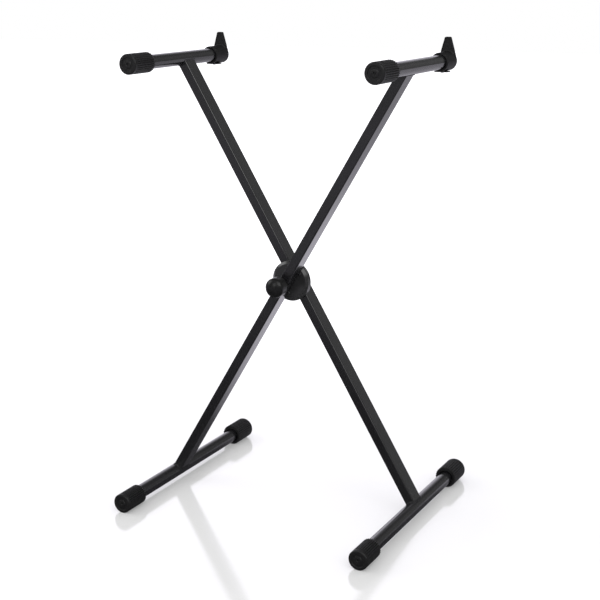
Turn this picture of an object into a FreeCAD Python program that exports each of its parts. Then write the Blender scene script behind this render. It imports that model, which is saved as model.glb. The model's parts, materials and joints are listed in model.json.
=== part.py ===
"""Folding X-frame keyboard stand.

Two rectangular steel arms cross at a toothed hub. Each arm carries a round foot tube at its lower
end and a round support tube at its upper end. Ribbed rubber caps close the tubes, finned stops
close the backs of the supports, and a spring-loaded pull knob on the hub's axis frees the fold.

Millimetres. X runs left to right, -Y faces the player's side, +Z is up. The origin lies on the
floor, at the middle of the feet.
"""
import FreeCAD
import Part
import Sketcher
import math
import os

DIMENSIONS = (
    # The frame as it stands
    ("foot_spacing", 538.0),
    ("support_spacing", 522.0),
    ("support_height", 902.2),
    ("foot_length", 492.0),
    ("support_length", 343.0),
    ("hub_lead", 2.5),
    ("support_lead", 5.0),
    ("frame_stagger", 2.7),
    ("arm_gap", 18.0),
    # Steel tubes
    ("tube_diameter", 28.0),
    ("tube_wall", 1.5),
    ("arm_width", 20.0),
    ("arm_depth", 35.0),
    ("arm_wall", 1.5),
    ("arm_corner", 2.5),
    ("weld_gap", 0.1),
    # Rubber caps and grips
    ("cap_diameter", 40.0),
    ("rear_cap_diameter", 45.0),
    ("foot_cap_length", 59.0),
    ("grip_length", 66.0),
    ("cap_end", 6.0),
    ("cap_edge", 2.5),
    ("end_band", 5.0),
    ("flute_count", 30),
    ("flute_depth", 1.2),
    ("flute_width", 2.2),
    ("face_rim", 4.0),
    ("face_recess", 1.5),
    ("button_diameter", 15.0),
    ("button_height", 1.0),
    ("seat_gap", 0.05),
    # Keyboard stops
    ("stop_diameter", 36.6),
    ("stop_length", 48.0),
    ("fin_thickness", 8.0),
    ("fin_height", 46.0),
    ("fin_top", 13.0),
    ("fin_corner", 3.0),
    ("panel_bottom", 23.0),
    ("panel_margin", 2.4),
    ("panel_depth", 0.8),
    ("base_width", 28.0),
    ("base_length", 18.0),
    ("base_setback", 8.0),
    ("base_drop", 19.4),
    ("base_thickness", 2.2),
    ("screw_diameter", 3.5),
    ("screw_reach", 8.5),
    ("screw_head_diameter", 7.0),
    ("screw_head_height", 1.4),
    # Toothed cups of the hub
    ("cup_diameter", 82.4),
    ("cup_face_diameter", 72.0),
    ("cup_bevel", 4.5),
    ("cup_floor", 2.0),
    ("cup_split", 0.6),
    ("cup_edge", 0.8),
    ("tooth_count", 24),
    ("tooth_ring_diameter", 56.0),
    ("tooth_depth", 3.0),
    ("tooth_mouth", 4.6),
    ("tooth_root", 3.0),
    ("tooth_gap", 0.3),
    # Hollow pivot and its fastening
    ("pivot_diameter", 16.0),
    ("running_gap", 0.05),
    ("axial_play", 0.1),
    ("head_diameter", 27.0),
    ("head_thickness", 4.0),
    ("washer_diameter", 30.0),
    ("washer_thickness", 1.5),
    ("thread_diameter", 14.0),
    ("thread_end", 1.0),
    ("nut_flats", 20.0),
    ("nut_height", 8.0),
    ("spring_bore", 10.4),
    ("sleeve_end_wall", 4.0),
    ("plug_diameter", 20.0),
    ("plug_thickness", 2.0),
    ("plug_stem", 7.0),
    # Lock
    ("lock_travel", 3.0),
    ("star_thickness", 3.0),
    ("star_rest_gap", 0.8),
    ("star_boss_diameter", 26.0),
    ("star_boss_length", 7.5),
    ("pin_diameter", 3.0),
    ("pin_length", 23.0),
    ("pin_setback", 5.0),
    ("slot_gap", 0.15),
    ("rod_diameter", 6.0),
    ("rod_in_knob", 20.5),
    ("piston_length", 15.0),
    ("piston_tail", 4.0),
    ("spring_wire", 1.1),
    ("spring_turns", 5),
    ("spring_side_gap", 0.3),
    ("spring_end_gap", 0.1),
    ("knob_diameter", 40.0),
    ("knob_height", 28.5),
    ("knob_crown", 26.0),
    ("knob_round", 8.0),
    ("knob_edge", 1.0),
    ("knob_wall", 3.0),
    ("knob_floor", 13.0),
    ("knob_boss_diameter", 13.0),
    ("knob_boss_inset", 3.0),
    ("knob_standoff", 10.0),
)

START, END = range(1, 3)
FRONT_ANGLE, BACK_ANGLE = 90, -90
WIRE_SIDES = 5
NUT_BEVEL = math.tan(math.radians(30))


class Size:
    """A number that carries the spreadsheet expression it comes from."""

    def __init__(self, value, text):
        self.value = float(value)
        self.text = text

    def __add__(self, other):
        return Size(self.value + number(other), f"({self.text} + {words(other)})")

    def __radd__(self, other):
        return Size(number(other) + self.value, f"({words(other)} + {self.text})")

    def __sub__(self, other):
        return Size(self.value - number(other), f"({self.text} - {words(other)})")

    def __rsub__(self, other):
        return Size(number(other) - self.value, f"({words(other)} - {self.text})")

    def __mul__(self, other):
        return Size(self.value * number(other), f"({self.text} * {words(other)})")

    __rmul__ = __mul__

    def __truediv__(self, other):
        return Size(self.value / number(other), f"({self.text} / {words(other)})")

    def __rtruediv__(self, other):
        return Size(number(other) / self.value, f"({words(other)} / {self.text})")

    def __neg__(self):
        return Size(-self.value, f"(0 - {self.text})")


def number(size):
    return size.value if isinstance(size, Size) else float(size)


def words(size):
    return size.text if isinstance(size, Size) else repr(size)


def root(size):
    return Size(math.sqrt(size.value), f"sqrt({size.text})")


def slope_angle(run, rise):
    ratio = run / rise
    return Size(math.degrees(math.atan(ratio.value)), f"atan({ratio.text})")


doc = FreeCAD.newDocument("keyboard_stand")
sheet = doc.addObject("Spreadsheet::Sheet", "Sizes")
sheet.Label = "Sizes"
nodes = []


class Table:
    """The driving dimensions, each bound to its spreadsheet cell."""

    def __init__(self, rows):
        for row, (name, value) in enumerate(rows, start=1):
            sheet.set(f"A{row}", name)
            sheet.set(f"B{row}", str(value))
            sheet.setAlias(f"B{row}", name)
            setattr(self, name, Size(value, f"Sizes.{name}"))


s = Table(DIMENSIONS)
doc.recompute()

# Sizes that several pieces share
TUBE_RADIUS = s.tube_diameter / 2
CAP_RADIUS = s.cap_diameter / 2
REAR_CAP_RADIUS = s.rear_cap_diameter / 2
FOOT_HEIGHT = (CAP_RADIUS + REAR_CAP_RADIUS) / 2
FOOT_OFFSET = (REAR_CAP_RADIUS - CAP_RADIUS) / 2
HUB_Y = -s.hub_lead
ARM_RUN = (s.foot_spacing + s.support_spacing) / 2
ARM_RISE = s.support_height - FOOT_HEIGHT
ARM_LENGTH = root(ARM_RUN * ARM_RUN + ARM_RISE * ARM_RISE)
FOOT_SHARE = s.foot_spacing / (s.foot_spacing + s.support_spacing)
PIVOT_ALONG_ARM = ARM_LENGTH * FOOT_SHARE
PIVOT_HEIGHT = FOOT_HEIGHT + ARM_RISE * FOOT_SHARE
SEAT_RADIUS = TUBE_RADIUS + s.seat_gap
FOOT_END = s.foot_length / 2
SUPPORT_FRONT = -s.support_lead - s.support_length / 2
SUPPORT_BACK = s.support_length / 2 - s.support_lead

# Stations along the hub's axis, counted forward from the middle of the gap between the arms
CUP_BACK = s.arm_gap / 2
CUP_INSIDE = CUP_BACK - s.cup_floor
CUP_RIM = s.cup_split / 2
ARM_FACE = CUP_BACK + s.arm_depth
STAR_BACK = s.star_rest_gap - CUP_RIM
STAR_FRONT = STAR_BACK + s.star_thickness
PIN_AT = STAR_FRONT - s.pin_setback
PISTON_BACK = PIN_AT - s.piston_tail
PISTON_FRONT = PISTON_BACK + s.piston_length
SLEEVE_FRONT = ARM_FACE + s.nut_height + s.thread_end
SLEEVE_SHOULDER = SLEEVE_FRONT - s.sleeve_end_wall
HEAD_UNDER = ARM_FACE + s.washer_thickness + s.axial_play * 2
KNOB_BACK = ARM_FACE + s.knob_standoff
PIVOT_HOLE_FRONT = s.thread_diameter / 2 + s.seat_gap
PIVOT_HOLE_REAR = s.pivot_diameter / 2 + s.running_gap


def bind(thing, prop, size):
    """Set a property, and tie it to the sheet where the size comes from there."""
    if isinstance(size, Size):
        thing.setExpression(prop, size.text)
    elif prop.isidentifier():
        setattr(thing, prop, size)


def place(thing, x, y, z, axis=(1, 0, 0), angle=0):
    turn = FreeCAD.Rotation(FreeCAD.Vector(*axis), number(angle))
    thing.Placement = FreeCAD.Placement(FreeCAD.Vector(number(x), number(y), number(z)), turn)
    for letter, size in zip("xyz", (x, y, z)):
        bind(thing, f"Placement.Base.{letter}", size)
    bind(thing, "Placement.Rotation.Angle", angle)


def place_on_hub(thing):
    """Local Z runs forward along the hub's axis from the middle of the gap between the arms."""
    place(thing, 0, HUB_Y, PIVOT_HEIGHT, angle=FRONT_ANGLE)


def new_body(name):
    body = doc.addObject("PartDesign::Body", name)
    body.Label = name
    nodes.append(body)
    return body


def origin_part(body, role):
    return next(part for part in body.Origin.OriginFeatures if part.Role == role)


def new_sketch(body, plane, name, lift=None, turn=None):
    """A sketch on one of the body's own planes, lifted off it or turned in it where asked."""
    sketch = body.newObject("Sketcher::SketchObject", f"{body.Name}_{name}")
    sketch.AttachmentSupport = [(origin_part(body, plane), "")]
    sketch.MapMode = "FlatFace"
    offset = FreeCAD.Rotation(FreeCAD.Vector(0, 0, 1), number(turn or 0))
    sketch.AttachmentOffset = FreeCAD.Placement(FreeCAD.Vector(0, 0, number(lift or 0)), offset)
    bind(sketch, "AttachmentOffset.Base.z", lift)
    bind(sketch, "AttachmentOffset.Rotation.Angle", turn)
    return sketch


def hold(sketch, constraint, size):
    index = sketch.addConstraint(constraint)
    bind(sketch, f"Constraints[{index}]", size)


def hold_point(sketch, edge, end, x, y):
    """Fix a point by its two distances from the sketch's origin."""
    for kind, axis, size in (("DistanceX", -2, x), ("DistanceY", -1, y)):
        if number(size) == 0:
            sketch.addConstraint(Sketcher.Constraint("PointOnObject", edge, end, axis))
        else:
            hold(sketch, Sketcher.Constraint(kind, -1, 1, edge, end, number(size)), size)


def arc_between(start, end, radius, turn):
    """The shorter arc between two points, bending left (turn 1) or right (turn -1)."""
    chord = end - start
    across = FreeCAD.Vector(-chord.y, chord.x, 0).normalize() * turn
    rise = math.sqrt(max(radius ** 2 - (chord.Length / 2) ** 2, 0))
    centre = (start + end) / 2 + across * rise
    circle = Part.Circle(centre, FreeCAD.Vector(0, 0, 1), radius)
    first, last = (start, end) if turn > 0 else (end, start)
    angles = [math.atan2(point.y - centre.y, point.x - centre.x) for point in (first, last)]
    return Part.ArcOfCircle(circle, angles[0], angles[1])


def outline(sketch, corners):
    """A closed outline. A corner (x, y) is reached by a line, (x, y, radius, turn) by an arc."""
    points = [FreeCAD.Vector(number(corner[0]), number(corner[1]), 0) for corner in corners]
    pieces = []
    for index, corner in enumerate(corners):
        start, end = points[index - 1], points[index]
        if len(corner) == 2:
            pieces.append((sketch.addGeometry(Part.LineSegment(start, end)), START, END))
            continue
        radius, turn = corner[2:]
        edge = sketch.addGeometry(arc_between(start, end, number(radius), turn))
        hold(sketch, Sketcher.Constraint("Radius", edge, number(radius)), radius)
        pieces.append((edge, START, END) if turn > 0 else (edge, END, START))
    for index, corner in enumerate(corners):
        edge, _, end = pieces[index]
        after, begin, _ = pieces[(index + 1) % len(pieces)]
        sketch.addConstraint(Sketcher.Constraint("Coincident", edge, end, after, begin))
        hold_point(sketch, edge, end, corner[0], corner[1])


def circle(sketch, radius, x=0, y=0):
    centre = FreeCAD.Vector(number(x), number(y), 0)
    edge = sketch.addGeometry(Part.Circle(centre, FreeCAD.Vector(0, 0, 1), number(radius)))
    hold(sketch, Sketcher.Constraint("Radius", edge, number(radius)), radius)
    hold_point(sketch, edge, 3, x, y)


def rectangle(sketch, left, bottom, right, top):
    outline(sketch, [(left, bottom), (right, bottom), (right, top), (left, top)])


def round_rectangle(sketch, width, depth, radius):
    """A rectangle about the origin with round corners."""
    x, y = width / 2, depth / 2
    outline(sketch, [
        (x, y - radius), (x - radius, y, radius, 1),
        (radius - x, y), (-x, y - radius, radius, 1),
        (-x, radius - y), (radius - x, -y, radius, 1),
        (x - radius, -y), (x, radius - y, radius, 1)])


def trapezoid(sketch, inner, inner_width, outer, outer_width):
    """A tooth or tooth space about the sketch's upward axis."""
    outline(sketch, [(inner_width / 2, inner), (outer_width / 2, outer),
                     (-outer_width / 2, outer), (-inner_width / 2, inner)])


def pad(body, name, sketch, length, flip=False):
    feature = body.newObject("PartDesign::Pad", f"{body.Name}_{name}")
    feature.Profile = sketch
    bind(feature, "Length", length)
    feature.Reversed = flip
    return feature


def pocket(body, name, sketch, length=None, flip=False):
    """A cut of a given depth or, with none given, through everything on both sides."""
    feature = body.newObject("PartDesign::Pocket", f"{body.Name}_{name}")
    feature.Profile = sketch
    feature.Reversed = flip
    if length is None:
        feature.Type = "ThroughAll"
        feature.SideType = "Symmetric"
    else:
        bind(feature, "Length", length)
    return feature


def revolve(body, corners, name="turned"):
    """Turn an outline of (radius, height) corners about the body's own Z axis."""
    sketch = new_sketch(body, "XZ_Plane", f"{name}_outline")
    outline(sketch, corners)
    feature = body.newObject("PartDesign::Revolution", f"{body.Name}_{name}")
    feature.Profile = sketch
    feature.ReferenceAxis = (sketch, ["V_Axis"])
    feature.Angle = 360
    return feature


def groove(body, corners, name):
    """Turn a closed outline of (radius, height) corners away from the body."""
    sketch = new_sketch(body, "XZ_Plane", f"{name}_outline")
    outline(sketch, corners)
    feature = body.newObject("PartDesign::Groove", f"{body.Name}_{name}")
    feature.Profile = sketch
    feature.ReferenceAxis = (sketch, ["V_Axis"])
    feature.Angle = 360
    return feature


def repeat_round(body, feature, count):
    """Repeat a feature evenly about the body's own Z axis."""
    pattern = body.newObject("PartDesign::PolarPattern", f"{feature.Name}_round")
    pattern.Originals = [feature]
    pattern.Axis = (origin_part(body, "Z_Axis"), [""])
    pattern.Angle = 360
    bind(pattern, "Occurrences", count)
    body.Tip = pattern


def ring(name, inner, outer, bottom, top):
    """A plain ring on the hub's axis."""
    body = new_body(name)
    revolve(body, [(inner, bottom), (outer, bottom), (outer, top), (inner, top)])
    place_on_hub(body)


def arm(name, hand, side, pivot_hole):
    """A rectangular tube from a foot to the opposite support, coped to both and bored for the hub."""
    body = new_body(name)
    section = new_sketch(body, "XY_Plane", "section")
    round_rectangle(section, s.arm_width, s.arm_depth, s.arm_corner)
    inside = s.arm_wall * 2
    round_rectangle(section, s.arm_width - inside, s.arm_depth - inside, s.arm_corner - s.arm_wall)
    pad(body, "tube", section, ARM_LENGTH)
    ends = new_sketch(body, "XZ_Plane", "ends")
    cope = TUBE_RADIUS + s.weld_gap
    circle(ends, cope)
    circle(ends, cope, 0, ARM_LENGTH)
    circle(ends, pivot_hole, 0, PIVOT_ALONG_ARM)
    pocket(body, "copes_and_bore", ends)
    y = HUB_Y + side * (s.arm_gap + s.arm_depth) / 2
    place(body, hand * s.foot_spacing / 2, y, FOOT_HEIGHT, (0, 1, 0), slope_angle(ARM_RUN, ARM_RISE) * -hand)


def round_tube(name, x, start, z, length, screw_from_end=None):
    """A round tube running back from its front end, with a screw hole below where asked."""
    body = new_body(name)
    section = new_sketch(body, "XZ_Plane", "section")
    circle(section, TUBE_RADIUS)
    circle(section, TUBE_RADIUS - s.tube_wall)
    pad(body, "tube", section, length, flip=True)
    if screw_from_end:
        hole = new_sketch(body, "XY_Plane", "screw_hole")
        circle(hole, s.screw_diameter / 2 + s.seat_gap, 0, length - screw_from_end)
        pocket(body, "screw_hole", hole, s.tube_diameter)
    place(body, x, start, z)


def ribbed_cap(name, length, radius, offset, x, mouth, z, facing):
    """A blind rubber cap, fluted from its mouth to a plain end band, with a button in its dished face."""
    body = new_body(name)
    shoulder = radius - s.cap_edge
    rim = shoulder - s.face_rim
    floor = length - s.face_recess
    crest = floor + s.button_height
    button = s.button_diameter / 2
    revolve(body, [
        (0, 0), (radius, 0), (radius, length - s.cap_edge), (shoulder, length),
        (rim, length), (rim, floor), (button, floor), (button, crest), (0, crest)])
    bore = new_sketch(body, "XY_Plane", "bore")
    circle(bore, SEAT_RADIUS, 0, offset)
    pocket(body, "bore", bore, length - s.cap_end, flip=True)
    down = 180 if facing == FRONT_ANGLE else 0
    flute = new_sketch(body, "XY_Plane", "flute", turn=180 / s.flute_count + down)
    outside = radius + s.flute_depth
    outline(flute, [(0, radius - s.flute_depth), (s.flute_width, outside), (-s.flute_width, outside)])
    cut = pocket(body, "flute", flute, length - s.end_band, flip=True)
    repeat_round(body, cut, s.flute_count)
    place(body, x, mouth, z, angle=facing)


def tangent_point(x, y, radius):
    """Where the right-hand tangent from a point above touches a circle about the origin."""
    square = x * x + y * y
    reach = root(square - radius * radius)
    share = radius / square
    return share * (radius * x + reach * y), share * (radius * y - reach * x)


def keyboard_stop(name, x, front, z):
    """A sleeve over the support's back end, closed by a tall tapered fin, on a flat base."""
    body = new_body(name)
    radius = s.stop_diameter / 2
    depth = s.stop_length - s.fin_thickness
    sleeve = new_sketch(body, "XZ_Plane", "sleeve")
    circle(sleeve, radius)
    pad(body, "sleeve", sleeve, depth, flip=True)
    fin = new_sketch(body, "XZ_Plane", "fin", lift=-depth)
    top = s.fin_top / 2
    shoulder = s.fin_height - s.fin_corner
    touch_x, touch_z = tangent_point(top, shoulder, radius)
    outline(fin, [
        (touch_x, touch_z, radius, 1),
        (top, shoulder), (top - s.fin_corner, s.fin_height, s.fin_corner, 1),
        (s.fin_corner - top, s.fin_height), (-top, shoulder, s.fin_corner, 1),
        (-touch_x, touch_z), (0, -radius, radius, 1)])
    pad(body, "fin", fin, s.fin_thickness, flip=True)
    base = new_sketch(body, "XZ_Plane", "base", lift=-s.base_setback)
    rectangle(base, -s.base_width / 2, -s.base_drop, s.base_width / 2, s.base_thickness - s.base_drop)
    pad(body, "base", base, s.base_length, flip=True)
    bore = new_sketch(body, "XZ_Plane", "bore")
    circle(bore, SEAT_RADIUS)
    pocket(body, "bore", bore, depth)
    panel = new_sketch(body, "XZ_Plane", "panel", lift=-depth)
    taper = (touch_x - top) / (shoulder - touch_z)
    lower_half = top + taper * (shoulder - s.panel_bottom) - s.panel_margin
    trapezoid(panel, s.panel_bottom, lower_half * 2,
              s.fin_height - s.panel_margin, (top - s.panel_margin) * 2)
    pocket(body, "panel", panel, s.panel_depth)
    hole = new_sketch(body, "XY_Plane", "screw_hole")
    circle(hole, s.screw_diameter / 2 + s.seat_gap, 0, s.base_setback + s.base_length / 2)
    pocket(body, "screw_hole", hole, s.stop_diameter)
    place(body, x, front, z)


def stop_screw(name, x, front, z):
    """A pan-head screw that keeps the stop upright, driven from below."""
    body = new_body(name)
    head, shank = s.screw_head_diameter / 2, s.screw_diameter / 2
    revolve(body, [
        (0, -s.screw_head_height), (head - s.screw_head_height, -s.screw_head_height), (head, 0),
        (shank, 0), (shank, s.screw_reach), (0, s.screw_reach)])
    place(body, x, front + s.base_setback + s.base_length / 2, z - s.base_drop)


def clutch_cup(name, side, hole):
    """A dished cup on one arm, toothed inside, open towards the other cup."""
    body = new_body(name)
    rim, face, inside = (station * side for station in (CUP_RIM, CUP_BACK, CUP_INSIDE))
    radius, tips = s.cup_diameter / 2, s.tooth_ring_diameter / 2
    bevel = face - s.cup_bevel * side
    revolve(body, [
        (hole, inside), (tips, inside), (tips, rim), (radius - s.cup_edge, rim),
        (radius, rim + s.cup_edge * side), (radius, bevel), (s.cup_face_diameter / 2, face), (hole, face)])
    space = new_sketch(body, "XY_Plane", "tooth_space")
    trapezoid(space, tips - s.tooth_depth, s.tooth_mouth * 2 - s.tooth_root,
              tips + s.tooth_depth, s.tooth_root)
    cut = pocket(body, "tooth_space", space, CUP_INSIDE, flip=side > 0)
    repeat_round(body, cut, s.tooth_count)
    place_on_hub(body)


def lock_star():
    """The toothed wheel that slides on the pivot and locks the two cups together."""
    body = new_body("lock_star")
    tips = s.tooth_ring_diameter / 2
    plate = new_sketch(body, "XY_Plane", "plate", lift=STAR_BACK)
    circle(plate, tips - s.tooth_gap * 2)
    pad(body, "plate", plate, s.star_thickness)
    tooth = new_sketch(body, "XY_Plane", "tooth", lift=STAR_BACK)
    narrow = s.tooth_gap * 2
    trapezoid(tooth, tips - s.tooth_depth, s.tooth_mouth * 2 - s.tooth_root - narrow,
              tips + s.tooth_depth - s.tooth_gap, s.tooth_root - narrow)
    repeat_round(body, pad(body, "tooth", tooth, s.star_thickness), s.tooth_count)
    boss = new_sketch(body, "XY_Plane", "boss", lift=STAR_FRONT)
    circle(boss, s.star_boss_diameter / 2)
    pad(body, "boss", boss, s.star_boss_length, flip=True)
    bore = new_sketch(body, "XY_Plane", "bore")
    circle(bore, s.pivot_diameter / 2 + s.running_gap)
    pocket(body, "bore", bore)
    hole = new_sketch(body, "YZ_Plane", "pin_hole")
    circle(hole, s.pin_diameter / 2 + s.seat_gap, 0, PIN_AT)
    pocket(body, "pin_hole", hole)
    place_on_hub(body)


def pivot_sleeve():
    """A hollow shouldered bolt: the fold turns on it and the lock's rod slides through it."""
    body = new_body("pivot_sleeve")
    bore, shank, thread = s.spring_bore / 2, s.pivot_diameter / 2, s.thread_diameter / 2
    guide, head = s.rod_diameter / 2 + s.running_gap, s.head_diameter / 2
    back = -HEAD_UNDER - s.head_thickness
    revolve(body, [
        (bore, back), (head - s.cup_edge, back), (head, back + s.cup_edge), (head, -HEAD_UNDER),
        (shank, -HEAD_UNDER), (shank, CUP_INSIDE), (thread, CUP_INSIDE), (thread, SLEEVE_FRONT),
        (guide, SLEEVE_FRONT), (guide, SLEEVE_SHOULDER), (bore, SLEEVE_SHOULDER)])
    slot = new_sketch(body, "YZ_Plane", "pin_slot")
    reach = s.pin_diameter / 2 + s.slot_gap
    rectangle(slot, -reach, PIN_AT - reach, reach, PIN_AT + s.lock_travel + reach)
    pocket(body, "pin_slot", slot)
    place_on_hub(body)


def pivot_nut():
    """The hexagon nut that clamps the pivot to the front arm."""
    body = new_body("pivot_nut")
    section = new_sketch(body, "XY_Plane", "section", lift=ARM_FACE)
    flat = s.nut_flats / 2
    corner = s.nut_flats / math.sqrt(3)
    outline(section, [(corner, 0), (corner / 2, flat), (-corner / 2, flat),
                      (-corner, 0), (-corner / 2, -flat), (corner / 2, -flat)])
    circle(section, PIVOT_HOLE_FRONT)
    pad(body, "hexagon", section, s.nut_height)
    top = ARM_FACE + s.nut_height
    rest = corner - flat
    groove(body, [(flat, top), (corner, top - rest * NUT_BEVEL), (corner + rest, top)], "corner_bevel")
    place_on_hub(body)


def bore_plug():
    """The moulded plug that closes the pivot's open back end."""
    body = new_body("bore_plug")
    seat = -HEAD_UNDER - s.head_thickness
    back, stem = seat - s.plug_thickness, s.spring_bore / 2 - s.seat_gap
    radius = s.plug_diameter / 2
    revolve(body, [
        (0, back), (radius - s.plug_thickness, back), (radius, seat),
        (stem, seat), (stem, seat + s.plug_stem), (0, seat + s.plug_stem)])
    place_on_hub(body)


def plunger_rod():
    """The rod from the knob to the piston that carries the cross pin."""
    body = new_body("plunger_rod")
    rod, piston = s.rod_diameter / 2, s.spring_bore / 2 - s.running_gap
    front = KNOB_BACK + s.rod_in_knob
    revolve(body, [(0, PISTON_BACK), (piston, PISTON_BACK), (piston, PISTON_FRONT),
                   (rod, PISTON_FRONT), (rod, front), (0, front)])
    hole = new_sketch(body, "YZ_Plane", "pin_hole")
    circle(hole, s.pin_diameter / 2 + s.seat_gap, 0, PIN_AT)
    pocket(body, "pin_hole", hole)
    place_on_hub(body)


def cross_pin():
    """The pin that joins the rod to the star through the pivot's slots."""
    pin = doc.addObject("Part::Cylinder", "cross_pin")
    pin.Label = "cross_pin"
    nodes.append(pin)
    bind(pin, "Radius", s.pin_diameter / 2)
    bind(pin, "Height", s.pin_length)
    place(pin, -s.pin_length / 2, HUB_Y - PIN_AT, PIVOT_HEIGHT, (0, 1, 0), 90)


def lock_knob():
    """A hollow domed pull knob with a boss for the rod."""
    body = new_body("lock_knob")
    radius, inner = s.knob_diameter / 2, s.knob_diameter / 2 - s.knob_wall
    crown_centre = s.knob_height - s.knob_crown
    across, apart = radius - s.knob_round, s.knob_crown - s.knob_round
    skirt = crown_centre + root(apart * apart - across * across)
    share = s.knob_crown / apart
    boss, rod = s.knob_boss_diameter / 2, s.rod_diameter / 2 + s.seat_gap
    corners = [
        (inner, 0), (radius - s.knob_edge, 0), (radius, s.knob_edge), (radius, skirt),
        (across * share, crown_centre + (skirt - crown_centre) * share, s.knob_round, 1),
        (0, s.knob_height, s.knob_crown, 1), (0, s.rod_in_knob), (rod, s.rod_in_knob),
        (rod, s.knob_boss_inset), (boss, s.knob_boss_inset), (boss, s.knob_floor), (inner, s.knob_floor)]
    revolve(body, [(corner[0], corner[1] + KNOB_BACK, *corner[2:]) for corner in corners])
    place_on_hub(body)


def arc_edge(start, heading, end):
    """The arc that leaves a point in a given direction and ends at another point."""
    chord = end - start
    along = FreeCAD.Vector(chord).normalize()
    aside = heading - along * heading.dot(along)
    half_turn = math.asin(min(aside.Length, 1))
    bulge = aside.normalize() * (chord.Length / 2 * math.tan(half_turn / 2))
    return Part.Arc(start, start + chord / 2 + bulge, end).toShape()


def biarc(start, heading, end, last_heading):
    """Two arcs that join two points and keep the direction at each."""
    chord = end - start
    sway = chord.dot(heading + last_heading)
    spread = 2 * (1 - heading.dot(last_heading))
    reach = (math.sqrt(sway ** 2 + spread * chord.dot(chord)) - sway) / spread
    middle = (start + heading * reach + end - last_heading * reach) / 2
    reverse = arc_edge(end, last_heading * -1, middle)
    return [arc_edge(start, heading, middle), reverse]


def least_gap(points, wire, apart):
    """The least clear distance between stretches of the wire that lie some steps apart."""
    pairs = ((a, b) for i, a in enumerate(points) for b in points[i + apart:])
    return min(a.distanceToPoint(b) for a, b in pairs) - wire


def lock_spring():
    """The coil spring round the rod, from the piston to the end wall of the pivot."""
    quarters = 4
    wire = s.spring_wire.value
    radius = (s.spring_bore.value - wire) / 2 - s.spring_side_gap.value
    first = (PISTON_FRONT + s.spring_end_gap).value + wire / 2
    last = (SLEEVE_SHOULDER - s.spring_end_gap).value - wire / 2
    steps = int(s.spring_turns.value * quarters)
    climb = (last - first) / steps

    def station(step):
        angle = 2 * math.pi * step / quarters
        return FreeCAD.Vector(radius * math.cos(angle), radius * math.sin(angle), first + climb * step)

    def heading(step):
        angle = 2 * math.pi * step / quarters
        pace = radius * 2 * math.pi / quarters
        return FreeCAD.Vector(-pace * math.sin(angle), pace * math.cos(angle), climb).normalize()

    edges = []
    for step in range(steps):
        edges += biarc(station(step), heading(step), station(step + 1), heading(step + 1))
    path = Part.Wire(Part.__sortEdges__(edges))
    rim = Part.makeCircle(wire / 2, station(0), heading(0)).discretize(WIRE_SIDES + 1)
    shell = Part.BRepOffsetAPI.MakePipeShell(path)
    shell.add(Part.makePolygon(rim))
    shell.build()
    shell.makeSolid()
    spring = doc.addObject("Part::Feature", "lock_spring")
    spring.Label = "lock_spring"
    spring.Shape = shell.shape()
    nodes.append(spring)
    place_on_hub(spring)
    fine = 8
    trail = [station(step / fine) for step in range(steps * fine + 1)]
    print(f"lock_spring: least gap to itself {least_gap(trail, wire, fine * quarters // 2):.2f} mm")


def build_frame():
    """Both arms with their feet, supports, caps, grips and stops."""
    arm("front_arm", -1, -1, PIVOT_HOLE_FRONT)
    arm("rear_arm", 1, 1, PIVOT_HOLE_REAR)
    screw_from_end = s.stop_length - s.fin_thickness - s.base_setback - s.base_length / 2
    for side, hand in (("left", -1), ("right", 1)):
        shift = -hand * s.frame_stagger
        x = hand * s.foot_spacing / 2
        front, back = shift - FOOT_END, shift + FOOT_END
        round_tube(f"{side}_foot_tube", x, front + s.cap_end, FOOT_HEIGHT, s.foot_length - s.cap_end * 2)
        ribbed_cap(f"{side}_front_foot_cap", s.foot_cap_length, CAP_RADIUS, FOOT_OFFSET,
                   x, front + s.foot_cap_length, CAP_RADIUS, FRONT_ANGLE)
        ribbed_cap(f"{side}_rear_foot_cap", s.foot_cap_length, REAR_CAP_RADIUS, FOOT_OFFSET,
                   x, back - s.foot_cap_length, REAR_CAP_RADIUS, BACK_ANGLE)
        x, z = hand * s.support_spacing / 2, s.support_height
        front, back = SUPPORT_FRONT + shift, SUPPORT_BACK + shift
        length = s.support_length - s.cap_end - s.fin_thickness
        round_tube(f"{side}_support_tube", x, front + s.cap_end, z, length, screw_from_end)
        ribbed_cap(f"{side}_grip", s.grip_length, CAP_RADIUS, 0, x, front + s.grip_length, z, FRONT_ANGLE)
        keyboard_stop(f"{side}_stop", x, back - s.stop_length, z)
        stop_screw(f"{side}_stop_screw", x, back - s.stop_length, z)


def build_hub():
    """The toothed cups, the hollow pivot with its fastening, and the lock inside."""
    clutch_cup("front_clutch_cup", 1, PIVOT_HOLE_FRONT)
    clutch_cup("rear_clutch_cup", -1, PIVOT_HOLE_REAR)
    pivot_sleeve()
    pivot_nut()
    wall = s.arm_wall + s.seat_gap
    inner_flat = s.arm_width / 2 - s.arm_corner
    ring("arm_spacer", PIVOT_HOLE_FRONT, inner_flat, CUP_BACK + wall, ARM_FACE - wall)
    washer = -ARM_FACE - s.axial_play
    ring("thrust_washer", PIVOT_HOLE_REAR, s.washer_diameter / 2, washer - s.washer_thickness, washer)
    bore_plug()
    lock_star()
    plunger_rod()
    cross_pin()
    lock_spring()
    lock_knob()


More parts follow.
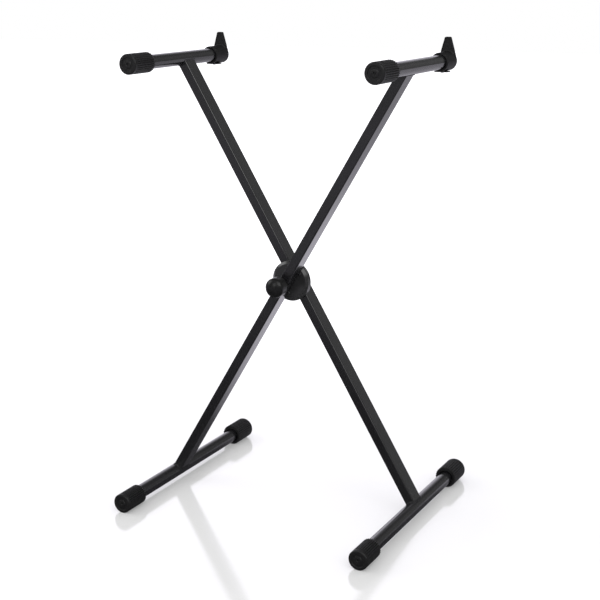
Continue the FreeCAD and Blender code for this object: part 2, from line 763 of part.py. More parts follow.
def check():
    """Stop if anything in the document failed, or a piece isn't one good solid."""
    for thing in doc.Objects:
        if "Invalid" in thing.State or "Error" in thing.State:
            raise RuntimeError(f"{thing.Name} failed: {thing.State}")
        base = getattr(thing, "BaseFeature", None)
        change = thing.Shape.Volume - base.Shape.Volume if base else 0
        if thing.isDerivedFrom("PartDesign::Pad") and change < 0:
            raise RuntimeError(f"{thing.Name} adds nothing")
        cuts = thing.isDerivedFrom("PartDesign::Pocket") or thing.isDerivedFrom("PartDesign::Groove")
        if cuts and change >= 0:
            raise RuntimeError(f"{thing.Name} cuts nothing")
    for node in nodes:
        shape = node.Shape
        if shape.isNull() or not shape.isValid() or len(shape.Solids) != 1:
            raise RuntimeError(f"{node.Label} is not one valid solid")


def main():
    build_frame()
    build_hub()
    doc.recompute()
    check()
    os.makedirs("parts", exist_ok=True)
    for node in nodes:
        node.Shape.exportStep(os.path.join("parts", f"{node.Label}.step"))
    print(f"{len(nodes)} pieces written")


main()
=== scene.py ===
"""Dresses the folding keyboard stand: finishes for the steel, moulded caps, stops and knob, welds, stage.

Everything is in metres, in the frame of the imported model: X to the right, -Y towards the player, Z up.
"""
import bmesh
import bpy
import json
import math
from bpy.props import FloatProperty, FloatVectorProperty, IntProperty, PointerProperty
from mathutils import Matrix, Vector


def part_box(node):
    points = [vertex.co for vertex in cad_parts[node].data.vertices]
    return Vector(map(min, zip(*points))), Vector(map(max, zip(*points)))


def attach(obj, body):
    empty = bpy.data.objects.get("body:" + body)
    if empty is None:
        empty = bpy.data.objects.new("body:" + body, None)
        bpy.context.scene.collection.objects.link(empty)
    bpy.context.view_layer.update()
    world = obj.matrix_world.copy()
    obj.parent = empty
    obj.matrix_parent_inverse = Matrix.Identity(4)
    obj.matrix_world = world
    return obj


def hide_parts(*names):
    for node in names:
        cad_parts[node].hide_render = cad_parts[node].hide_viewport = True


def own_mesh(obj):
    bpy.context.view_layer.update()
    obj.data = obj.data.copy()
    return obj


bl_info = {
    "name": "Keyboard Stand",
    "version": (1, 0, 0),
    "blender": (4, 5, 0),
    "location": "View3D > Sidebar > Stand",
    "description": "Builds the finishes and moulded pieces of a folding keyboard stand",
    "category": "Object",
}

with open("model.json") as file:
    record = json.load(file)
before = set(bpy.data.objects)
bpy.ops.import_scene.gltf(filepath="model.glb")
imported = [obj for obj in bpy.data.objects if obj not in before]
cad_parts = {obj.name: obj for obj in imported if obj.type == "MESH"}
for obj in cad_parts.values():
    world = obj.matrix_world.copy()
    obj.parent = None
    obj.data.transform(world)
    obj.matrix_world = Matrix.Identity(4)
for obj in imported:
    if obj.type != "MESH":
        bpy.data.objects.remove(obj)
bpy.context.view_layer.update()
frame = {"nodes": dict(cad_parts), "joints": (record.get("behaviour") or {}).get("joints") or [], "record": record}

MM = 0.001
FRONT_BODY, REAR_BODY, LOCK_BODY = "front_frame", "rear_frame", "lock"
PIVOT = Vector(next(joint["pos_m"] for joint in frame["joints"] if joint["name"] == "fold"))
Y_AXIS = Vector((0, 1, 0))

COATED = ("front_arm", "rear_arm", "left_foot_tube", "right_foot_tube", "left_support_tube",
          "right_support_tube")
CUPS = ("front_clutch_cup", "rear_clutch_cup")
MACHINED = ("pivot_sleeve", "arm_spacer", "plunger_rod", "cross_pin", "lock_star")
BLACKENED = ("pivot_nut", "thrust_washer")
CAPS = {"left_front_foot_cap": "left_foot_tube", "left_rear_foot_cap": "left_foot_tube",
        "right_front_foot_cap": "right_foot_tube", "right_rear_foot_cap": "right_foot_tube",
        "left_grip": "left_support_tube", "right_grip": "right_support_tube"}
STOPS = ("left_stop", "right_stop")
ARMS = ((FRONT_BODY, "front_arm", "left_foot_tube", "right_support_tube"),
        (REAR_BODY, "rear_arm", "right_foot_tube", "left_support_tube"))

# What is smaller than this counts as nothing.
TINY = 1e-6
WHITE, BLACK = (1, 1, 1, 1), (0, 0, 0, 1)
# An arm's tack welds: distance from the hub along the arm, in mm, and side.
TACKS = ((27.0, 1), (-22.0, 1), (26.0, -1), (-23.0, -1))
# The boss inside the hollow knob: radius and height above the knob's rim, in mm.
KNOB_BOSS = ((0, 20.5), (3.05, 20.5), (3.05, 3.0), (6.1, 3.0), (6.5, 3.4), (6.5, 13.0))
# Rings of a cap's dished face: what each is measured from, its offset and its depth, in mm.
CAP_FACE = (("rim", 0.4, 0), ("rim", -0.1, 0.4), ("rim", -0.4, 1.5), ("button", 0.7, 1.5),
            ("button", 0.3, 0.8), ("button", -0.2, 0.5), ("axis", 3.1, 0.5), ("axis", 2.6, 1.0),
            ("axis", 2.2, 2.4))
# Each lamp's name, place, width and power, and the point that all of them face.
SOFTBOXES = (("key_softbox", (1.7, -1.5, 2.4), 2.4, 28.0),
             ("side_softbox", (-2.2, -0.6, 1.7), 1.4, 12.0),
             ("front_softbox", (-0.4, -2.6, 1.8), 1.2, 6.0))
LIT_POINT = Vector((0, 0, 0.5))
# Where a lamp's image starts and ends its fade, past the cosine of its edge.
IMAGE_FADE = (-0.025, 0.02)
# The floor as gloss shows it, a glow of painted light and shade: place from front to back, where the stand is at
# 0.5, and brightness, with a dark painted shadow at the stand and a painted pool of light behind it.
FLOOR_BAND = ((0.02, 0.30), (0.92, 0.50), (0.42, 0.03), (0.53, 0.09), (0.57, 0.70), (0.61, 0.97),
              (0.70, 0.97), (0.78, 0.52))
FLOOR_BAND_SCALE, FLOOR_BAND_MIDDLE = 0.2, 0.5
# The seen floor's extra glow: distance from the stand, in units of 2 m, and share.
FLOOR_FADE = ((0.2, 0), (0.9, 1))
FLOOR_FADE_SCALE = 0.5


def node_body(node):
    bodies = frame["record"]["behaviour"]["bodies"]
    return next(body for body, members in bodies.items() if node in members)


def colour_property(name, description, default):
    return FloatVectorProperty(name=name, description=description, subtype="COLOR", size=3,
                               min=0, max=1, default=default)


def length_property(name, description, default):
    return FloatProperty(name=name, description=description, unit="LENGTH", default=default, min=0)


class StandFinishes(bpy.types.PropertyGroup):
    """Colours of the stand's finishes."""
    coat: colour_property("Powder coat", "Satin black coat of the steel frame", (0.0100, 0.0098, 0.0110))
    # The cup coat's lighter colour is partly a duller finish and partly painted light, standing in for light that
    # the shaded cups beside the arms lack.
    cup: colour_property("Cup coat", "Duller black coat of the hub's cups", (0.0260, 0.0260, 0.0270))
    rubber: colour_property("Rubber", "Moulded caps and grips", (0.0092, 0.0092, 0.0098))
    plastic: colour_property("Stop plastic", "Moulded stops", (0.0100, 0.0100, 0.0106))
    knob: colour_property("Knob plastic", "Pull knob and bore plug", (0.0090, 0.0090, 0.0094))
    steel: colour_property("Plain steel", "Turned pieces inside the hub", (0.55, 0.55, 0.57))
    blackened: colour_property("Blackened steel", "Nut, washer and screws", (0.022, 0.022, 0.024))
    dust: colour_property("Dust", "Fine dust that settles on matte surfaces", (0.07, 0.069, 0.067))


class StandSizes(bpy.types.PropertyGroup):
    """Sizes of the details that the finished pieces carry."""
    flutes: IntProperty(name="Flutes", description="Grooves round each cap", default=30, min=8)
    flute_steps: IntProperty(name="Flute steps", description="Points round each groove", default=8, min=4)
    flute_depth: length_property("Flute depth", "Depth of the grooves", 1.6 * MM)
    flute_share: FloatProperty(name="Flute share", description="Groove's share of the pitch",
                               subtype="FACTOR", default=0.6, min=0.1, max=0.9)
    cap_edge: length_property("Cap edge", "Round edge of a cap's end", 2.5 * MM)
    mouth_share: FloatProperty(name="Mouth share", subtype="FACTOR", default=0.3, min=0.05, max=0.6,
                               description="Open ring's share of the wall at a cap's mouth")
    mouth_depth: length_property("Mouth depth", "Depth of the open ring", 4.5 * MM)
    cap_end: length_property("Cap end", "Thickness of a cap's closed end", 6.0 * MM)
    end_band: length_property("End band", "Plain band between the grooves and the end", 5.0 * MM)
    face_rim: length_property("Face rim", "Plain ring round a cap's dished face", 4.0 * MM)
    button_radius: length_property("Button radius", "Radius of the button in a cap's face", 7.5 * MM)
    tube_radius: length_property("Tube radius", "Outer radius of the round tubes", 14.0 * MM)
    arm_width: length_property("Arm width", "Side of an arm's section across the frame", 20.0 * MM)
    arm_depth: length_property("Arm depth", "Side of an arm's section from front to back", 35.0 * MM)
    arm_corner: length_property("Arm corner", "Round corner of an arm's section", 2.5 * MM)
    weld_bead: length_property("Weld bead", "Radius of the weld beads", 1.5 * MM)
    weld_ripples: IntProperty(name="Weld ripples", description="Ripples in one weld bead",
                              default=44, min=8)
    weld_wave: FloatProperty(name="Weld wave", description="Ripple's share of a weld bead's radius",
                             subtype="FACTOR", default=0.16, min=0, max=0.5)
    tack_radius: length_property("Tack radius", "Radius of the tack welds on the hub", 2.5 * MM)
    stop_radius: length_property("Stop radius", "Outer radius of a stop's sleeve", 18.3 * MM)
    fin_thickness: length_property("Fin thickness", "Thickness of a stop's fin", 8.0 * MM)
    fin_height: length_property("Fin height", "Top of a stop's fin above the tube's axis", 46.0 * MM)
    fin_top: length_property("Fin top", "Width of a fin at its top", 13.0 * MM)
    fin_corner: length_property("Fin corner", "Round corners of a fin's top", 3.0 * MM)
    fin_edge: length_property("Fin edge", "Rounding of a fin's edges", 1.0 * MM)
    fin_fillet: length_property("Fin fillet", "Hollow fillet between a fin and its sleeve", 3.0 * MM)
    panel_bottom: length_property("Panel bottom", "Lower edge of a fin's panel above the axis", 23.0 * MM)
    panel_margin: length_property("Panel margin", "Rim round a fin's panel", 2.2 * MM)
    panel_depth: length_property("Panel depth", "Depth of a fin's panel", 0.8 * MM)
    panel_slope: length_property("Panel slope", "Width of the slope round a fin's panel", 0.5 * MM)
    base_size: FloatVectorProperty(name="Base size", description="Flat base under a stop", size=3,
                                   subtype="XYZ", unit="LENGTH", default=(28 * MM, 18 * MM, 2.2 * MM))
    base_setback: length_property("Base setback", "From a sleeve's mouth to its base", 8.0 * MM)
    base_corner: length_property("Base corner", "Round corners of a stop's base", 2.5 * MM)
    base_edge: length_property("Base edge", "Rounding of the base's edges", 0.5 * MM)
    screw_head: length_property("Screw head", "Height of a screw's head", 1.4 * MM)
    screw_shank: length_property("Screw shank", "Radius of a screw's shank", 1.75 * MM)
    screw_reach: length_property("Screw reach", "Half the length of the cross in a screw", 1.8 * MM)
    screw_sink: length_property("Screw sink", "Depth of the cross in a screw", 0.8 * MM)
    screw_cross: length_property("Screw cross", "Width of the cross in a screw's head", 0.9 * MM)
    knob_round: length_property("Knob shoulder", "Rounding of the knob's shoulder", 8.0 * MM)
    knob_crown: length_property("Knob crown", "Radius of the knob's domed face", 26.0 * MM)
    knob_wall: length_property("Knob wall", "Wall of the hollow knob", 3.0 * MM)
    spring_wire: length_property("Spring wire", "Diameter of the spring's wire", 1.1 * MM)
    spring_turns: IntProperty(name="Spring turns", description="Turns of the spring", default=5, min=2)


class StageSettings(bpy.types.PropertyGroup):
    """Camera, floor and light."""
    eye: FloatVectorProperty(name="Camera place", description="Camera position", subtype="TRANSLATION",
                             size=3, default=(1.16924, -2.13924, 1.07324))
    yaw: FloatProperty(name="Yaw", description="Camera's turn to the left", unit="ROTATION",
                       default=math.radians(28.30))
    pitch: FloatProperty(name="Pitch", description="Camera's tilt downwards", unit="ROTATION",
                         default=math.radians(14.85))
    roll: FloatProperty(name="Roll", description="Camera's turn about its view", unit="ROTATION",
                        default=math.radians(-0.34))
    lens: FloatProperty(name="Lens", description="Focal length", unit="CAMERA", default=74.493)
    floor: colour_property("Floor", "Colour of the floor", (0.9, 0.9, 0.9))
    floor_reach: length_property("Floor reach", "Half the width of the floor", 14.0)
    floor_gloss: FloatProperty(name="Floor gloss", description="Share of mirror reflection in the floor",
                               subtype="FACTOR", default=0.42, min=0, max=1)
    floor_blur: FloatProperty(name="Floor blur", description="Roughness of the floor's mirror reflection",
                              subtype="FACTOR", default=0.12, min=0, max=1)
    floor_lift: FloatProperty(name="Floor lift", description="Glow that keeps the seen floor white",
                              default=0.21, min=0)
    far_lift: FloatProperty(name="Far lift", description="Further glow of the floor far from the stand",
                            default=0.5, min=0)
    sky: FloatProperty(name="Sky", description="Strength of the surrounding light", default=0.78, min=0)
    sweep: FloatVectorProperty(name="Sweep", description="Direction of the white sweep's middle", size=3,
                               subtype="DIRECTION", default=(-0.50, 0.85, 0.15))
    sweep_edge: FloatProperty(name="Sweep edge", description="Cosine at which the white sweep starts",
                              default=0.84)
    haze: colour_property("Haze", "Tint of the white sweep, as gloss shows it", (0.93, 0.90, 1.0))
    lamp_image: FloatProperty(name="Lamp image", default=2.2, min=0,
                              description="Brightness of the softboxes, as gloss shows them")
    wall: FloatVectorProperty(name="Wall", description="Direction of the pale wall's middle", size=3,
                              subtype="DIRECTION", default=(0.475, 0.84, 0.29))
    wall_edge: FloatProperty(name="Wall edge", description="Cosine at which the pale wall starts",
                             default=0.92)
    wall_light: FloatProperty(name="Wall light", subtype="FACTOR", default=0.22, min=0, max=1,
                              description="Brightness of the pale wall, as gloss shows it")
    room: FloatProperty(name="Room", subtype="FACTOR", default=0.10, min=0, max=1,
                        description="Brightness of the room round the sweep, as gloss shows it")


class Value:
    """A shader socket that takes part in expressions."""

    def __init__(self, finish, socket):
        self.finish = finish
        self.socket = socket

    def maths(self, operation, first, second):
        return self.finish.add("ShaderNodeMath", {"operation": operation}, {0: first, 1: second})

    def __add__(self, other):
        return self.maths("ADD", self, other)

    __radd__ = __add__

    def __mul__(self, other):
        return self.maths("MULTIPLY", self, other)

    __rmul__ = __mul__


class Finish:
    """A node tree being built, for a material or the world."""

    def __init__(self, owner):
        owner.use_nodes = True
        self.owner = owner
        self.tree = owner.node_tree
        self.tree.nodes.clear()

    def add(self, kind, settings=None, sockets=None, output=0):
        """Add a node, set it up, feed its sockets and return one of its outputs."""
        node = self.tree.nodes.new(kind)
        for name, setting in (settings or {}).items():
            if name == "stops":
                self.set_stops(node.color_ramp, setting)
            else:
                setattr(node, name, setting)
        for key, value in (sockets or {}).items():
            if isinstance(value, Value):
                self.tree.links.new(value.socket, node.inputs[key])
            else:
                node.inputs[key].default_value = value
        return Value(self, node.outputs[output]) if node.outputs else None

    @staticmethod
    def set_stops(ramp, stops):
        for index, (place, level) in enumerate(stops):
            element = ramp.elements[index] if index < 2 else ramp.elements.new(place)
            element.position = place
            element.color = (level, level, level, 1)

    def place(self, scale=(1, 1, 1), centre=(0, 0, 0)):
        """Object coordinates about a centre, stretched where asked."""
        place = self.add("ShaderNodeTexCoord", output=3)
        shifted = self.add("ShaderNodeVectorMath", {"operation": "SUBTRACT"}, {0: place, 1: centre})
        return self.add("ShaderNodeVectorMath", {"operation": "MULTIPLY"}, {0: shifted, 1: scale})

    def noise(self, scale, detail=2.0, place=None, roughness=0.5):
        sockets = {"Vector": place or self.place(), "Scale": scale, "Detail": detail,
                   "Roughness": roughness}
        return self.add("ShaderNodeTexNoise", {"noise_dimensions": "3D"}, sockets)

    def ramp(self, value, *stops):
        return self.add("ShaderNodeValToRGB", {"stops": stops}, {"Fac": value})

    def mix(self, factor, first, second):
        """Mix two colours."""
        settings = {"data_type": "RGBA"}
        return self.add("ShaderNodeMix", settings, {0: factor, 6: first, 7: second}, output=2)

    def bump(self, height, depth, strength=1.0, under=None):
        sockets = {"Height": height, "Distance": depth, "Strength": strength}
        if under:
            sockets["Normal"] = under
        return self.add("ShaderNodeBump", None, sockets)

    def toward(self, way, middle):
        """How near a direction is to another, as a cosine."""
        settings = {"operation": "DOT_PRODUCT"}
        return self.add("ShaderNodeVectorMath", settings, {0: way, 1: middle.normalized()}, "Value")

    def background(self, colour, strength):
        return self.add("ShaderNodeBackground", None, {"Color": colour, "Strength": strength})

    def surface(self, **sockets):
        named = {name.replace("_", " "): value for name, value in sockets.items()}
        shader = self.add("ShaderNodeBsdfPrincipled", None, named)
        self.add("ShaderNodeOutputMaterial", None, {"Surface": shader})
        return self.owner


def rgba(colour, gain=1.0):
    return (*(min(part * gain, 1.0) for part in colour), 1)


def new_finish(name):
    return Finish(bpy.data.materials.new(name))


def powder_coat(name, colour, dust_colour, gloss):
    """Satin powder coat: fine orange peel, faint cloudy sheen, a few rubbed streaks and settled dust."""
    finish = new_finish(name)
    cloud = finish.noise(scale=14.0, detail=4.0)
    peel = finish.noise(scale=1400.0, detail=1.0)
    swell = finish.noise(scale=320.0, detail=1.0)
    streak = finish.noise(scale=1.0, detail=3.0, place=finish.place((420, 420, 26)))
    rubbed = finish.ramp(streak, (0.62, 0), (0.74, 1))
    specks = finish.noise(scale=46.0, detail=6.0, roughness=0.7)
    dust = finish.ramp(specks, (0.55, 0), (0.85, 1))
    base = finish.mix(cloud, rgba(colour, 0.8), rgba(colour, 1.25))
    worn = finish.mix(rubbed * 0.25, base, rgba(colour, 2.2))
    shade = finish.mix(dust * 0.06, worn, rgba(dust_colour))
    fine = finish.bump(peel, depth=0.03 * MM, strength=0.5)
    normal = finish.bump(swell, depth=0.06 * MM, strength=0.35, under=fine)
    roughness = 0.20 + cloud * 0.06 + dust * 0.10 + rubbed * 0.05
    return finish.surface(Base_Color=shade, Roughness=roughness, Normal=normal, IOR=1.5,
                          Coat_Weight=gloss + cloud * 0.2, Coat_Roughness=0.13)


def moulded_rubber(colours):
    """Matte rubber with a fine moulded grain and a pale bloom in places."""
    finish = new_finish("moulded_rubber")
    grain = finish.noise(scale=2600.0, detail=2.0)
    pores = finish.noise(scale=700.0, detail=2.0)
    bloom = finish.ramp(finish.noise(scale=60.0, detail=5.0, roughness=0.65), (0.45, 0), (0.8, 1))
    tone = finish.mix(pores, rgba(colours.rubber, 0.8), rgba(colours.rubber, 1.3))
    colour = finish.mix(bloom * 0.06, tone, rgba(colours.dust))
    fine = finish.bump(grain, depth=0.04 * MM, strength=0.5)
    normal = finish.bump(pores, depth=0.08 * MM, strength=0.35, under=fine)
    roughness = 0.40 + bloom * 0.16 + grain * 0.06
    return finish.surface(Base_Color=colour, Roughness=roughness, Normal=normal, IOR=1.5)


def moulded_plastic(name, colour, dust_colour, roughness, grain_depth):
    """Moulded plastic with an eroded grain and slight flow marks."""
    finish = new_finish(name)
    grain = finish.noise(scale=1900.0, detail=2.0)
    flow = finish.noise(scale=1.0, detail=3.0, place=finish.place((60, 60, 150)))
    specks = finish.noise(scale=75.0, detail=5.0, roughness=0.7)
    dust = finish.ramp(specks, (0.55, 0), (0.85, 1))
    tone = finish.mix(flow, rgba(colour, 0.85), rgba(colour, 1.2))
    shade = finish.mix(dust * 0.06, tone, rgba(dust_colour))
    normal = finish.bump(grain, depth=grain_depth, strength=0.5)
    sheen = roughness + flow * 0.06 + dust * 0.10
    return finish.surface(Base_Color=shade, Roughness=sheen, Normal=normal, IOR=1.40)


def turned_steel(colours):
    """Bright steel with turning marks round the hub's axis and a thin film of oil."""
    finish = new_finish("turned_steel")
    marks = finish.noise(scale=1.0, detail=3.0, place=finish.place((40, 5200, 40), PIVOT))
    film = finish.noise(scale=130.0, detail=3.0)
    colour = finish.mix(film, rgba(colours.steel, 0.75), rgba(colours.steel, 1.1))
    normal = finish.bump(marks, depth=0.03 * MM, strength=0.4)
    roughness = 0.24 + marks * 0.16
    return finish.surface(Base_Color=colour, Metallic=1.0, Roughness=roughness, Normal=normal)


def blackened_steel(colours):
    """Black oxide: dark, a little blotchy, brighter where tools have touched it."""
    finish = new_finish("blackened_steel")
    blotch = finish.noise(scale=240.0, detail=4.0)
    touched = finish.ramp(finish.noise(scale=520.0, detail=3.0), (0.6, 0), (0.75, 1))
    base = finish.mix(blotch, rgba(colours.blackened, 0.7), rgba(colours.blackened, 1.3))
    colour = finish.mix(touched * 0.3, base, rgba(colours.steel, 0.5))
    normal = finish.bump(finish.noise(scale=1600.0, detail=2.0), depth=0.03 * MM, strength=0.4)
    roughness = 0.36 + blotch * 0.14
    return finish.surface(Base_Color=colour, Metallic=0.85, Roughness=roughness, Normal=normal)


def paint_nodes(nodes, material):
    for node in nodes:
        slots = frame["nodes"][node].data.materials
        slots.clear()
        slots.append(material)


def finish_piece(name, shape, material, body, nodes=(), sharp=35.0):
    """Turn a bmesh into an object that rides on a body, smooth but for edges past an angle in degrees."""
    bmesh.ops.remove_doubles(shape, verts=shape.verts, dist=TINY)
    bmesh.ops.recalc_face_normals(shape, faces=shape.faces)
    for face in shape.faces:
        face.smooth = True
    mesh = bpy.data.meshes.new(name)
    shape.to_mesh(mesh)
    shape.free()
    mesh.set_sharp_from_angle(angle=math.radians(sharp))
    mesh.materials.append(material)
    piece = bpy.data.objects.new(name, mesh)
    bpy.context.scene.collection.objects.link(piece)
    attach(piece, body)
    if nodes:
        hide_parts(*nodes)
    return piece


def arc(centre, radius, first, last, steps):
    """Points of an arc in a flat profile, by its angles in degrees."""
    angles = (math.radians(first + (last - first) * step / steps) for step in range(steps + 1))
    return [(centre[0] + radius * math.cos(a), centre[1] + radius * math.sin(a)) for a in angles]


def along_y(origin, forward):
    """Local Z to the front (-Y) or the back (+Y), from a point in the frame."""
    turn = Matrix.Rotation(math.radians(90 if forward else -90), 4, "X")
    return Matrix.Translation(origin) @ turn


def points_of(made):
    return [item for item in made if isinstance(item, bmesh.types.BMVert)]


def extrude_loop(shape, edges):
    """Extrude a loop of edges and return the new loop's edges and points."""
    made = bmesh.ops.extrude_edge_only(shape, edges=edges)["geom"]
    points = points_of(made)
    found = set(points)
    loop = [item for item in made if isinstance(item, bmesh.types.BMEdge)
            and all(vert in found for vert in item.verts)]
    return loop, points


def round_edges(shape, edges, width, segments):
    bmesh.ops.bevel(shape, geom=edges, offset=width, offset_type="OFFSET", segments=segments, profile=0.5,
                    affect="EDGES", material=-1)


def skin_rings(shape, count, rings, swell, tube=False):
    """Skin a row of (radius, height, share) rings about local Z; swell changes a point's radius."""
    made = bmesh.ops.create_circle(shape, segments=count, radius=rings[0][0], cap_ends=not tube)
    points = made["verts"]
    first = edges = list(shape.edges)
    for step, (radius, height, share) in enumerate(rings):
        if step:
            edges, points = extrude_loop(shape, edges)
        for vert in points:
            flat = Vector((vert.co.x, vert.co.y, 0)).normalized()
            vert.co = flat * (radius + (swell(flat, share) if share else 0)) + Vector((0, 0, height))
    if tube:
        bmesh.ops.bridge_loops(shape, edges=[*first, *edges])
    else:
        bmesh.ops.edgeloop_fill(shape, edges=edges)


def join(shape, other):
    """Add another bmesh to a shape."""
    mesh = bpy.data.meshes.new("joined")
    other.to_mesh(mesh)
    other.free()
    shape.from_mesh(mesh)
    bpy.data.meshes.remove(mesh)


def spin_profile(shape, profile, place, steps=96):
    """Turn a profile of (radius, height) points about local Z into a closed skin."""
    verts = [shape.verts.new((radius, 0, height)) for radius, height in profile]
    edges = [shape.edges.new(pair) for pair in zip(verts, verts[1:])]
    bmesh.ops.spin(shape, geom=verts + edges, cent=(0, 0, 0), axis=(0, 0, 1), angle=2 * math.pi,
                   steps=steps, use_merge=True)
    bmesh.ops.transform(shape, matrix=place, verts=shape.verts)


def scene_settings():
    scene = bpy.context.scene
    return scene.stand_finishes, scene.stand_sizes, scene.stand_stage


class STAND_OT_coat_frame(bpy.types.Operator):
    """Coat the arms, tubes and hub cups, and lay the welds that join them"""
    bl_idname = "stand.coat_frame"
    bl_label = "Coat the frame"

    def execute(self, context):
        finishes, sizes, _ = scene_settings()
        coat = powder_coat("powder_coat", finishes.coat, finishes.dust, gloss=0.8)
        paint_nodes(COATED, coat)
        # Cups take a lighter, duller copy of the coat: partly their own finish, partly painted light for the shade
        # beside the arms.
        cup_coat = powder_coat("cup_coat", finishes.cup, finishes.dust, gloss=0.3)
        paint_nodes(CUPS, cup_coat)
        for body, arm, foot, support in ARMS:
            feet, top = self.tube_axis(foot), self.tube_axis(support)
            along = (top - feet).normalized()
            across = Y_AXIS.cross(along)
            middle = sum((corner.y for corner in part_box(arm)), 0.0) / 2
            for name, axis, way in ((foot, feet, along), (support, top, -along)):
                self.bead(f"{name}_weld", axis + Y_AXIS * middle, way, across, sizes, coat, body)
            # The tacks wear the lighter cup coat as a painted highlight, so they show as pale dots beside the arm.
            self.tacks(f"{arm}_tacks", arm, along, across, sizes, cup_coat, body)
        return {"FINISHED"}

    @staticmethod
    def tube_axis(tube):
        low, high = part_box(tube)
        return Vector(((low.x + high.x) / 2, 0, (low.z + high.z) / 2))

    def bead(self, name, centre, way, across, sizes, coat, body):
        """A rippled bead that follows the arm's section over the curve of the tube."""
        path = self.section(sizes)
        count = len(path)
        shape = bmesh.new()
        first = edges = None
        for step, (side, depth) in enumerate(path):
            rise = math.sqrt(sizes.tube_radius ** 2 - side ** 2)
            place = centre + way * rise + across * side + Y_AXIS * depth
            outward = (across * side / sizes.arm_width + Y_AXIS * depth / sizes.arm_depth).normalized()
            turn = Matrix((outward, way, outward.cross(way))).transposed()
            ripple = 1 + sizes.weld_wave * math.sin(2 * math.pi * sizes.weld_ripples * step / count)
            if edges is None:
                points = bmesh.ops.create_circle(shape, segments=8, radius=sizes.weld_bead)["verts"]
                first = edges = list(shape.edges)
                flat = [vert.co.copy() for vert in points]
            else:
                edges, points = extrude_loop(shape, edges)
            for vert, spot in zip(points, flat):
                vert.co = place + turn @ (spot * ripple)
        bmesh.ops.bridge_loops(shape, edges=[*first, *edges])
        finish_piece(name, shape, coat, body, sharp=80.0)

    @staticmethod
    def section(sizes):
        """Points round an arm's rounded section, evenly spread enough for the ripples."""
        stand_off, pace, corner_steps = 0.3 * MM, 0.45 * MM, 8
        wide, deep = sizes.arm_width / 2 + stand_off, sizes.arm_depth / 2 + stand_off
        corner = sizes.arm_corner
        points = []
        for quarter, (x, y) in enumerate(((1, 1), (-1, 1), (-1, -1), (1, -1))):
            middle = (x * (wide - corner), y * (deep - corner))
            points += arc(middle, corner, quarter * 90, quarter * 90 + 90, corner_steps)
            ahead = ((-1, 0), (0, -1), (1, 0), (0, 1))[quarter]
            run = 2 * ((wide if ahead[0] else deep) - corner)
            steps = round(run / pace)
            last = points[-1]
            points += [(last[0] + ahead[0] * run * step / steps, last[1] + ahead[1] * run * step / steps)
                       for step in range(1, steps)]
        return points

    @staticmethod
    def tacks(name, arm, along, across, sizes, coat, body):
        """Short tack welds in the corners between an arm and its cup."""
        low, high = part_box(arm)
        face = high.y if low.y < PIVOT.y else low.y
        inward = -1 if low.y < PIVOT.y else 1
        beside, raised = sizes.arm_width / 2 + 1.6 * MM, 0.4 * MM
        turn = Matrix((along, across, Y_AXIS)).transposed().to_4x4()
        stretch = Matrix.Diagonal((1.35, 1.0, 0.75, 1))
        shape = bmesh.new()
        for reach, side in TACKS:
            place = PIVOT + along * reach * MM + across * side * beside
            place.y = face + inward * raised
            bmesh.ops.create_icosphere(shape, subdivisions=3, radius=sizes.tack_radius,
                                       matrix=Matrix.Translation(place) @ turn @ stretch)
        finish_piece(name, shape, coat, body, sharp=80.0)


